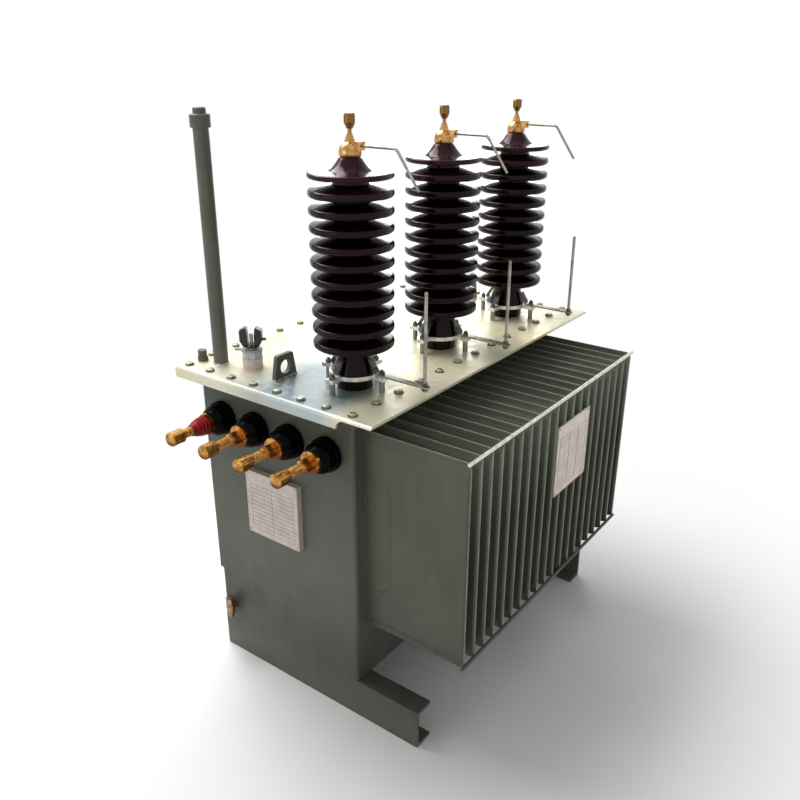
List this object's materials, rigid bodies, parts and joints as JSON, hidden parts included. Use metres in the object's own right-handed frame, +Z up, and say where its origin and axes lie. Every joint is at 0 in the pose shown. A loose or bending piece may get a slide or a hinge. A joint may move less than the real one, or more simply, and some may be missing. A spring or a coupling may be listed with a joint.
{
  "type": "oil filled distribution transformer",
  "caption": "Oil-filled distribution transformer with finned tank, galvanised cover, porcelain high voltage bushings, low voltage end terminals and skids.",
  "frame": {"origin": "centre of the skid bolt pattern on the ground plane", "axes": "+Z up, X along the long side with the low voltage end wall facing -X, radiator on the -Y side"},
  "size_m": [1.057, 0.7343, 1.348],
  "materials": {
    "tank_paint": "grey-green painted steel, satin",
    "fitting_paint": "grey-green painted steel on cover fittings",
    "cover_zinc": "hot-dip galvanised steel, weathered",
    "clamp_zinc": "zinc plated steel",
    "horn_steel": "galvanised steel rod",
    "brass": "dull brass",
    "porcelain": "dark brown glazed porcelain",
    "lv_insulator": "black moulded epoxy",
    "gasket": "black nitrile rubber",
    "sleeve": "red plastic sleeve",
    "handle": "black moulded handle",
    "nameplate": "bare weathered aluminium"
  },
  "bodies": {
    "tank": {"cover_gasket": "gasket", "cover_plate": "cover_zinc", "drain_valve": "brass", "filler_cap": "fitting_paint", "filler_pipe": "fitting_paint", "fin_nameplate": "nameplate", "front_lifting_lug": "fitting_paint", "front_nameplate": "nameplate", "front_skid": "tank_paint", "hv_clamp_1": "clamp_zinc", "hv_clamp_2": "clamp_zinc", "hv_clamp_3": "clamp_zinc", "hv_lower_horn_1": "horn_steel", "hv_lower_horn_2": "horn_steel", "hv_lower_horn_3": "horn_steel", "hv_porcelain_1": "porcelain", "hv_porcelain_2": "porcelain", "hv_porcelain_3": "porcelain", "hv_terminal_1": "brass", "hv_terminal_2": "brass", "hv_terminal_3": "brass", "hv_upper_horn_1": "horn_steel", "hv_upper_horn_2": "horn_steel", "hv_upper_horn_3": "horn_steel", "lower_fin_bar": "tank_paint", "lv_insulator_1": "lv_insulator", "lv_insulator_2": "lv_insulator", "lv_insulator_3": "lv_insulator", "lv_insulator_4": "lv_insulator", "lv_red_sleeve": "sleeve", "lv_terminal_1": "brass", "lv_terminal_2": "brass", "lv_terminal_3": "brass", "lv_terminal_4": "brass", "radiator_fins": "tank_paint", "rear_lifting_lug": "fitting_paint", "rear_skid": "tank_paint", "tank_body": "tank_paint", "tank_floor": "tank_paint", "tank_rim": "tank_paint", "tank_skirt": "tank_paint", "tap_changer_base": "clamp_zinc", "thermometer_pocket": "fitting_paint", "upper_fin_bar": "tank_paint"},
    "tap_handle": {"tap_changer_handle": "handle"}
  },
  "joints": [
    {"name": "tap_changer_turn", "type": "hinge", "parent": "tank", "child": "tap_handle", "pos_m": [-0.373, 0.188, 0.845], "axis": [0, 0, 1], "range_deg": [0, 120]}
  ]
}
